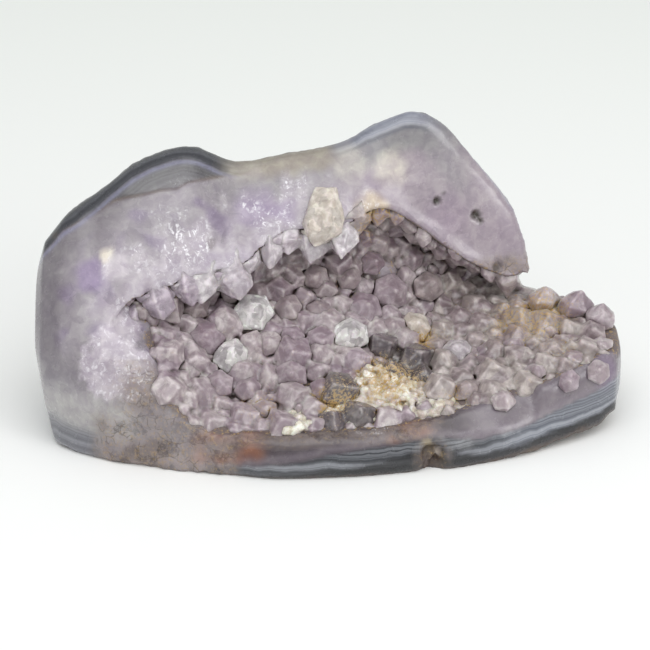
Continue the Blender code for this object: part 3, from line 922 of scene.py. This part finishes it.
        iron *= np.maximum(smoothstep(-28, -24, x) * smoothstep(-10, -16, x),
                           smoothstep(10, 13, x) * smoothstep(21, 17, x))
        coat.lay((92, 79, 74), rough * smoothstep(-0.2, 0.3, wander) * 0.8)
        coat.lay((166, 154, 152), rough * smoothstep(0.15, 0.45, patchy) * 0.45)
        coat.lay((150, 92, 58), iron * np.clip(0.45 + 0.8 * patchy, 0, 0.9))

        skin = self.skin(places, wander, patchy)
        coat.colours = coat.colours + (skin - coat.colours) * (natural * 0.92)[:, None]
        for centre, size in self.pits():
            coat.lay((56, 46, 38), spot(places, centre, size * 1.15))
        coat.lay((112, 100, 98), smoothstep(0.6, 0.95, hollow) * 0.9)
        agate = np.maximum.reduce([band * (0.12 + 0.88 * lit), edge * smoothstep(4.2, 3.2, depth) * 0.6,
                                   grey * 0.22, corner * 0.5])
        store(mesh, "paint", np.clip(coat.colours, 0, 1))
        store(mesh, "depth", depth)
        store(mesh, "agate", np.clip(agate * (1 - natural) * (hollow < 0.5) * (1 - rough * 0.7), 0, 1))
        store(mesh, "sparkle", np.clip(sparkle, 0, 1) * (1 - natural) * (hollow < 0.6))
        store(mesh, "cells", smoothstep(9, 12, depth) * (hollow < 0.5))
        store(mesh, "matte", np.clip(natural * 0.85 + rough * 0.9 + olive * 0.5 + (hollow > 0.5), 0, 1))
        store(mesh, "dirt", np.clip(rough * 0.35 + (hollow > 0.5) * 0.8 + natural * 0.1, 0, 1))
        store(mesh, "hollow", hollow)
        store(mesh, "broken", np.clip(rough * (1 - spot(places, (19.3, -24.8, 3.0), 5)) * 1.2, 0, 1))
        finish_mesh(mesh, BandedStone().material())

    def skin(self, places: np.ndarray, wander: np.ndarray, patchy: np.ndarray) -> np.ndarray:
        """The colours of the natural skin at the back and underneath.

        Args:
            places: Points in millimetres.
            wander: Broad noise, one value a point.
            patchy: Finer noise, one value a point.

        Returns:
            The colours, one row a point.
        """
        coat = Coat(len(places), (112, 106, 101))
        coat.lay((76, 75, 79), smoothstep(0, 0.5, wander))
        coat.lay((146, 130, 106), smoothstep(0.1, 0.5, field_noise(places, 4, 16)) * 0.55)
        coat.lay((150, 148, 150), smoothstep(0.2, 0.5, field_noise(places, 11, 23)) * 0.5)
        coat.lay((62, 54, 48), smoothstep(-0.2, -0.5, field_noise(places, 2.2, 3)) * 0.6)
        coat.lay((132, 96, 66), smoothstep(3, 1, places[:, 2]) * smoothstep(0.0, 0.4, patchy) * 0.7)
        return coat.colours

    def ledge_depth(self, across: np.ndarray) -> np.ndarray:
        """How far below the crest the grey chalcedony gives way to quartz, for each place across."""
        return np.interp(across, [-56, -50, -42, -36, -30, -25, -20, -14, -8],
                         [3.5, 4.5, 6.0, 8.8, 10.2, 8.0, 5.0, 3.2, 2.5])

    def patches(self) -> list[tuple[Place, float, tuple[int, int, int], float]]:
        """Single patches of colour: centre, size, colour and strength."""
        return [
            ((-46.3, -9.2, 33.8), 4.5, (132, 112, 150), 0.7), ((-43.6, -6.7, 36.5), 1.8, (222, 214, 196), 0.8),
            ((-41.5, -8.0, 34.5), 3.5, (206, 198, 204), 0.5), ((-14.4, 4.9, 41.9), 6.0, (140, 120, 156), 0.5),
            ((-9.0, 3.0, 42.0), 4.0, (134, 114, 152), 0.5), ((-23.2, -2.6, 37.7), 1.6, (96, 84, 88), 0.6),
            ((8.1, 5.5, 41.3), 4.5, (206, 190, 160), 0.75), ((12.1, 10.7, 48.1), 5.0, (208, 202, 190), 0.7),
            ((4.0, 11.0, 49.0), 5.0, (196, 190, 180), 0.5), ((8.7, 8.8, 46.3), 2.8, (128, 112, 132), 0.6),
            ((-53.5, -0.8, 39.0), 1.4, (70, 62, 56), 0.8), ((23.0, 12.0, 38.0), 7.0, (150, 132, 150), 0.4),
            ((34.0, 12.0, 33.0), 7.0, (156, 142, 154), 0.4), ((22.0, 12.0, 46.0), 9.0, (160, 152, 158), 0.5),
            ((53.0, -9.0, 13.0), 5.0, (136, 116, 148), 0.4), ((19.3, -24.8, 3.0), 3.4, (84, 70, 54), 1.0),
            ((18.4, -24.6, 5.6), 1.5, (176, 160, 128), 0.9), ((20.6, -24.8, 3.4), 1.2, (166, 156, 146), 0.8),
        ]


def frost(mesh: bpy.types.Mesh, tint: np.ndarray, seed: float) -> None:
    """Makes worn crystals uneven and marks their edges.

    Args:
        mesh: The crystals.
        tint: How deep in colour each point is, 0 to 1.
        seed: Shifts the unevenness.
    """
    places, facing = coordinates(mesh), normals(mesh)
    # The edge mask marks the pale rims, partly frost and partly a painted highlight.
    edge = smoothstep(0.010, 0.045, sharpness(mesh, places, facing))
    lumps = field_noise(places, 3.0, seed) * 0.24 + field_noise(places, 1.0, seed + 5) * 0.09
    set_points(mesh, places + facing * lumps[:, None])
    # The cleft mask marks the creases for the finish's painted shade.
    cleft = smoothstep(-0.012, -0.06, sharpness(mesh, places, facing))
    store(mesh, "edge", relaxed(mesh, edge, 1))
    store(mesh, "cleft", relaxed(mesh, cleft, 1))
    store(mesh, "tint", tint)


@dataclass
class NamedCrystals:
    """The crystals of the frame, each worn, frosted and grown into its neighbours."""

    voxel: float = 0.3
    growth: float = 0.24
    wear: int = 3

    def look(self, name: str) -> Look:
        """The kind of quartz a crystal is, by the first word of its name that says so."""
        return next((look for word, look in LOOK_OF_NAME.items() if name.startswith(word)), Look.LAVENDER)

    def shape(self, node: str) -> bpy.types.Mesh:
        """Makes a crystal's worn shape.

        Args:
            node: The CAD node it stands for.

        Returns:
            The mesh.
        """
        solid = welded_copy(node)
        solid.normal_update()
        growth = self.growth + (0.15 if node.startswith("lip") else 0.0)
        for vert in solid.verts:
            vert.co += vert.normal * growth * MM
        return worn_shape(solid, "quartz_" + node, self.voxel, self.wear)

    def build(self) -> list[bpy.types.Object]:
        """Builds every crystal of the frame.

        Returns:
            The crystals.
        """
        finishes = {look: look.value.material() for look in Look}
        made = []
        dice = random.Random(3)
        for node in sorted(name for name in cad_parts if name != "geode_wall"):
            mesh = self.shape(node)
            frost(mesh, np.full(len(mesh.vertices), dice.random()), dice.random() * 9)
            look = self.look(node)
            finish_mesh(mesh, finishes[look])
            piece = place_in_collection("quartz_" + node, mesh)
            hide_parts(node)
            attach(piece, BODY)
            made.append(piece)
        return made


@dataclass
class Druse:
    """The carpet of small quartz points between the named ones."""

    wall: bpy.types.Object
    crystals: list[bpy.types.Object]
    sizes: tuple[tuple[float, float, float, int], ...] = ((2.9, 4.0, 0.74, 9000), (1.9, 2.8, 0.64, 14000),
                                                          (1.2, 1.7, 0.60, 14000))
    voxel: float = 0.34
    root: float = 0.9
    seed: int = 21

    def point(self, shape: bmesh.types.BMesh, place: Vector, way: Vector, radius: float, tall: float,
              steep: float, dice: random.Random) -> None:
        """Adds one six-sided point.

        Args:
            shape: The mesh it goes into.
            place: Where it leaves the stone, in millimetres.
            way: The way it points.
            radius: Its radius.
            tall: How far its shoulder stands out.
            steep: Its tip's height over its radius.
            dice: The source of its irregularities.
        """
        matrix = Matrix.Translation(place * MM) @ way.to_track_quat("Z", "Y").to_matrix().to_4x4()
        matrix = matrix @ Matrix.Rotation(dice.uniform(0, math.pi / 3), 4, "Z")
        single = bmesh.new()
        bmesh.ops.create_cone(single, cap_ends=True, segments=6, radius1=radius * 0.92 * MM,
                              radius2=radius * MM, depth=(tall + self.root * radius) * MM)
        top = max(single.faces, key=lambda face: face.calc_center_median().z)
        for number, vert in enumerate(sorted(top.verts, key=lambda v: math.atan2(v.co.y, v.co.x))):
            vert.co.z += radius * (0.16 * (-1) ** number + dice.uniform(-0.16, 0.16)) * MM
            vert.co.xy *= dice.uniform(0.86, 1.1)
        peak = bmesh.ops.poke(single, faces=[top])["verts"][0]
        peak.co.z += radius * steep * dice.uniform(0.75, 1.2) * MM
        peak.co.x += radius * dice.uniform(-0.25, 0.25) * MM
        peak.co.y += radius * dice.uniform(-0.25, 0.25) * MM
        rise = (tall - self.root * radius) / 2
        matrix = matrix @ Matrix.Translation((0, 0, rise * MM))
        bmesh.ops.transform(single, matrix=matrix, verts=single.verts[:])
        mesh = bpy.data.meshes.new("point")
        single.to_mesh(mesh)
        single.free()
        shape.from_mesh(mesh)
        bpy.data.meshes.remove(mesh)

    def spots(self) -> list[Grown]:
        """Chooses where points grow: place, direction and radius of each.

        Returns:
            The chosen points.
        """
        mesh = self.wall.data
        front = Wall().hollow_front
        places, facing = coordinates(mesh), normals(mesh)
        hollow = np.array([item.value for item in mesh.attributes["hollow"].data])
        inside = np.flatnonzero(hollow > 0.5)
        tree = point_tree(places, inside)
        big = [surface_tree(piece.data) for piece in self.crystals]
        face = point_tree(places, np.flatnonzero((hollow < 0.3) & (places[:, 2] > 23)))
        dice = random.Random(self.seed)
        kept: list[Grown] = []
        centres = np.zeros((0, 4))
        for low, high, crowding, tries in self.sizes:
            order = list(inside)
            dice.shuffle(order)
            for index in order[:tries]:
                place = Vector(places[index])
                radius = dice.uniform(low, high) * self.scale(place)
                if len(centres):
                    apart = np.linalg.norm(centres[:, :3] - np.array(place), axis=1)
                    if (apart < crowding * (centres[:, 3] + radius)).any():
                        continue
                around = [facing[found[1]] for found in tree.find_range(place, 2.6)]
                normal = Vector(np.mean(around, axis=0)).normalized()
                clearance = (1.5 * radius + 0.6) * (1 if place.x > -25 else 0.7)
                if face.find(place)[2] < clearance or place.x > 55 - radius:
                    continue
                if self.buried(big, place + normal * radius * 0.6, radius):
                    continue
                tilt = Vector((dice.uniform(-1, 1), dice.uniform(-1, 1), dice.uniform(-1, 1)))
                outward = Vector((0.05, -0.4, 0.12)) if normal.z > 0 else Vector((0, 0, 0))
                if normal.z < -0.2 and radius > 2.4:
                    continue
                way = (normal + tilt * 0.26 + outward).normalized()
                if any((place - Vector(heap)).length < 5 for heap in HEAPS):
                    continue
                ahead = place.y - front(place.x)
                if place.z < 21 and ahead < 1.0 + 0.35 * radius:
                    continue
                flush = float(np.interp(ahead, [0, 6], [0.8, 0])) if place.z < 21 else 0.0
                kept.append((place - normal * radius * flush, way, radius))
                centres = np.vstack([centres, [*place, radius]])
        return kept

    def scale(self, place: Vector) -> float:
        """How big points grow at a place: small on the shelf and deep in the hollow, big at the front.

        Args:
            place: The place, in millimetres.

        Returns:
            The factor on their radius.
        """
        if place.x > 20 and place.z < 26:
            return 0.9 if place.y < 8 else 0.7
        return float(np.interp(place.y, [-22, -6, 6, 16], [1.12, 1.05, 0.82, 0.66]))

    def buried(self, solids: list[BVHTree], place: Vector, radius: float) -> bool:
        """Tells whether a place lies inside one of the named crystals or close to its surface.

        Args:
            solids: The crystals' surfaces.
            place: The place, in millimetres.
            radius: The radius of the point that would grow there.

        Returns:
            True where there is no room.
        """
        for solid in solids:
            spot_on, normal, _, apart = solid.find_nearest(place * MM, (radius + 1) * MM)
            if spot_on is None:
                continue
            if (place * MM - spot_on).dot(normal) < 0 or apart < 0.12 * radius * MM:
                return True
        return False

    def edge_spots(self) -> list[Grown]:
        """Chooses where the broad points of the upper jaw's edge grow, flush with its ground face.

        Returns:
            Place, direction and radius of each.
        """
        mesh = self.wall.data
        places = coordinates(mesh)
        hollow = np.array([item.value for item in mesh.attributes["hollow"].data])
        x, _, z = places.T
        rim = np.flatnonzero((hollow > 0.3) & (hollow < 0.6) & (z > 25) & (x > -39) & (x < 36))
        rim = rim[np.argsort(x[rim])]
        big = [surface_tree(piece.data) for piece in self.crystals]
        dice = random.Random(self.seed + 5)
        taken: list[tuple[Vector, float]] = []
        kept: list[Grown] = []
        for index in rim:
            place = Vector(places[index])
            jaw = place.x < JAW_END
            if not jaw and field_noise(places[index:index + 1], 6.0, 25)[0] < 0.05:
                continue
            radius = dice.uniform(2.7, 4.4) * (1.0 if jaw else dice.uniform(0.3, 0.8))
            if taken and min((place - other).length / (radius + size) for other, size in taken) < 0.66:
                continue
            taken.append((place, radius))
            inward = Vector((0, 0.66, -0.75)) if jaw else Vector((0, 0.9, -0.3))
            along = Vector((0, -0.75, -0.66)) if jaw else Vector((0, -0.3, -0.9))
            way = (along + Vector((dice.uniform(-0.3, 0.3), 0, dice.uniform(-0.1, 0.1)))).normalized()
            place = place + inward * radius * (0.8 if jaw else 1.2) - along * radius * 0.3
            if self.buried(big, place + way * radius, radius * 0.5):
                continue
            kept.append((place, way, radius))
        return kept

    def crust_spots(self) -> list[Grown]:
        """Chooses where the broken white grains lie: place, direction and radius of each.

        Returns:
            The chosen grains.
        """
        mesh = self.wall.data
        places, facing = coordinates(mesh), normals(mesh)
        dice = random.Random(self.seed + 9)
        kept = []
        for centre, size, count, pile in GRAIN_HEAPS:
            near = np.flatnonzero(spot(places, centre, size) > 0.1)
            for index in dice.sample(list(near), min(count, len(near))):
                heap = float(spot(places[index:index + 1], centre, size)[0])
                tilt = Vector((dice.uniform(-1, 1), dice.uniform(-1, 1), dice.uniform(-0.4, 1)))
                way = (Vector(facing[index]) * 0.6 + tilt).normalized()
                lift = Vector(facing[index]) * (dice.uniform(0.0, 1.0) * heap * pile)
                kept.append((Vector(places[index]) + lift, way, dice.uniform(0.4, 1.25)))
        return kept

    def build(self) -> list[bpy.types.Object]:
        """Grows the carpet, one piece for each side of the hollow.

        Returns:
            The pieces.
        """
        dice = random.Random(self.seed + 1)
        groups: dict[str, list[Grown]] = {}
        for grown in self.spots():
            groups.setdefault(self.side(grown[0], grown[1]), []).append(grown)
        edges = self.edge_spots()
        groups["lip_druse"] = [edge for edge in edges if edge[0].x < JAW_END]
        groups["lobe_druse"] = [edge for edge in edges if edge[0].x >= JAW_END]
        groups["white_crust"] = self.crust_spots()
        made = []
        # The points under the upper jaw and deep in the hollow take the darker quartz, whose colour is painted
        # shade.
        looks = {"ceiling_druse": Look.SHADED, "hollow_druse": Look.SHADED, "floor_druse": Look.LAVENDER,
                 "shelf_druse": Look.GREY, "lip_druse": Look.PALE, "lobe_druse": Look.LAVENDER,
                 "smoky_druse": Look.SMOKY, "white_crust": Look.CRUST}
        for name, members in sorted(groups.items()):
            shape = bmesh.new()
            for place, way, radius in members:
                edge = name in ("lip_druse", "lobe_druse")
                tall = radius * (dice.uniform(0.7, 1.1) if edge else dice.uniform(0.25, 0.8))
                self.point(shape, place, way, radius, tall, 1.15 if edge else 0.66, dice)
            mesh = worn_shape(shape, name, 0.22 if name == "white_crust" else self.voxel, 2)
            self.dress(mesh, members)
            finish_mesh(mesh, looks[name].value.material())
            piece = place_in_collection(name, mesh)
            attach(piece, BODY)
            made.append(piece)
            LOG.info("%s: %d points, %d faces", name, len(members), len(mesh.polygons))
        return made

    def dress(self, mesh: bpy.types.Mesh, members: list[Grown]) -> None:
        """Frosts the fused points and gives each its own depth of colour.

        Args:
            mesh: The fused mesh.
            members: The points that it is made of.
        """
        tree = KDTree(len(members))
        for index, (place, way, radius) in enumerate(members):
            tree.insert(place + way * radius * 0.7, index)
        tree.balance()
        dice = random.Random(self.seed + 2)
        shades = [dice.random() for _ in members]
        frost(mesh, np.array([shades[tree.find(Vector(place))[1]] for place in coordinates(mesh)]), 3.0)

    def side(self, place: Vector, way: Vector) -> str:
        """The side of the hollow a point grows on.

        Args:
            place: The point's foot, in millimetres.
            way: The way it points.

        Returns:
            The name of its piece.
        """
        if any((place - Vector(centre)).length < size for centre, size in SMOKY_NESTS):
            return "smoky_druse"
        if place.x > 20 and place.z < 24 and way.z > 0.3:
            return "shelf_druse"
        if way.z < 0.0:
            return "ceiling_druse"
        return "floor_druse" if place.z < 24 else "hollow_druse"


@dataclass
class Studio:
    """A pale floor, soft light and the camera."""

    distance: float = 0.5
    tilt: float = 25.0
    lens: float = 142.0
    aim: tuple[float, float, float] = (-1.1, -7.5, -6.6)

    def build(self) -> None:
        """Sets the stage round the stone."""
        low, high = CAD_BOX
        centre = (low + high) / 2
        self.floor(low.z)
        self.lights(centre)
        self.camera(centre + Vector(self.aim) * MM)
        bpy.context.scene.view_settings.view_transform = "Standard"

    def floor(self, level: float) -> None:
        """Lays the floor at a level.

        Args:
            level: Its height, in metres.
        """
        shape = bmesh.new()
        bmesh.ops.create_grid(shape, x_segments=8, y_segments=8, size=3.0)
        bmesh.ops.translate(shape, verts=shape.verts[:], vec=(0, 0, level - 0.00002))
        mesh = bpy.data.meshes.new("pale_floor")
        shape.to_mesh(mesh)
        shape.free()
        floor = place_in_collection("pale_floor", mesh)
        graph = Graph("pale_floor")
        along = graph.node("SeparateXYZ", {"Vector": graph.place()}).outputs["Y"]
        colour = graph.blend(graph.ramp(along, 0.02, 0.30), (0.97, 0.97, 0.97), (0.97, 0.985, 0.965))
        mesh.materials.append(graph.finish(colour, 0.7, Specular_IOR_Level=0.2))

    def lights(self, centre: Vector) -> None:
        """Hangs the lamps round a centre.

        Args:
            centre: The middle of the stone, in metres.
        """
        world = bpy.data.worlds.new("studio")
        world.use_nodes = True
        background = world.node_tree.nodes["Background"]
        background.inputs["Color"].default_value = (0.93, 0.96, 0.94, 1)
        background.inputs["Strength"].default_value = 0.62
        bpy.context.scene.world = world
        for name, place, size, power in (("overhead", (0.04, -0.34, 0.62), 0.7, 2.9),
                                         ("left", (-0.6, -0.5, 0.35), 0.3, 0.3),
                                         ("right", (0.6, -0.5, 0.35), 0.3, 1.2)):
            lamp = bpy.data.lights.new(name, "AREA")
            lamp.size = size
            lamp.energy = power
            held = bpy.data.objects.new(name, lamp)
            held.location = centre + Vector(place)
            held.rotation_euler = (-Vector(place)).to_track_quat("-Z", "Y").to_euler()
            bpy.context.scene.collection.objects.link(held)

    def camera(self, target: Vector) -> None:
        """Points the camera at a target from the front, a little above.

        Args:
            target: What it looks at, in metres.
        """
        data = bpy.data.cameras.new("camera")
        data.lens = self.lens
        data.sensor_width = 36.0
        data.clip_start = 0.02
        camera = bpy.data.objects.new("camera", data)
        tilt = math.radians(self.tilt)
        back = Vector((0, -math.cos(tilt), math.sin(tilt)))
        camera.location = target + back * self.distance
        camera.rotation_euler = (-back).to_track_quat("-Z", "Y").to_euler()
        bpy.context.scene.collection.objects.link(camera)
        bpy.context.scene.camera = camera


def shade_gaps(pieces: list[bpy.types.Object], near: float = 4.0, far: float = 24.0, rays: int = 12) -> None:
    """Stores how open each point of the pieces is to its surroundings.

    Args:
        pieces: The pieces that shade one another.
        near: The width of a gap between crystals, in millimetres.
        far: The width of the hollow, in millimetres.
        rays: Rays a point.
    """
    shape = bmesh.new()
    for piece in pieces:
        shape.from_mesh(piece.data)
    sight = Sight(BVHTree.FromBMesh(shape))
    shape.free()
    for piece in pieces:
        mesh = piece.data
        places = coordinates(mesh)
        store(mesh, "open", sight.openness(places, normals(mesh), near, far, rays))
        earth = [spot(places, centre, size) * amount for centre, size, amount in SOILS]
        store(mesh, "earth", np.max(earth, axis=0))


def main() -> None:
    """Builds the stone piece by piece and sets the stage."""
    logging.basicConfig(level=logging.INFO, format="%(name)s: %(message)s")
    wall = Wall().build()
    LOG.info("wall: %d faces", len(wall.data.polygons))
    crystals = NamedCrystals().build()
    faces = sum(len(crystal.data.polygons) for crystal in crystals)
    LOG.info("named crystals: %d pieces, %d faces", len(crystals), faces)
    druse = Druse(wall, crystals).build()
    shade_gaps([wall, *crystals, *druse])
    LOG.info("gaps shaded")
    Studio().build()


if __name__ == "__main__":
    main()
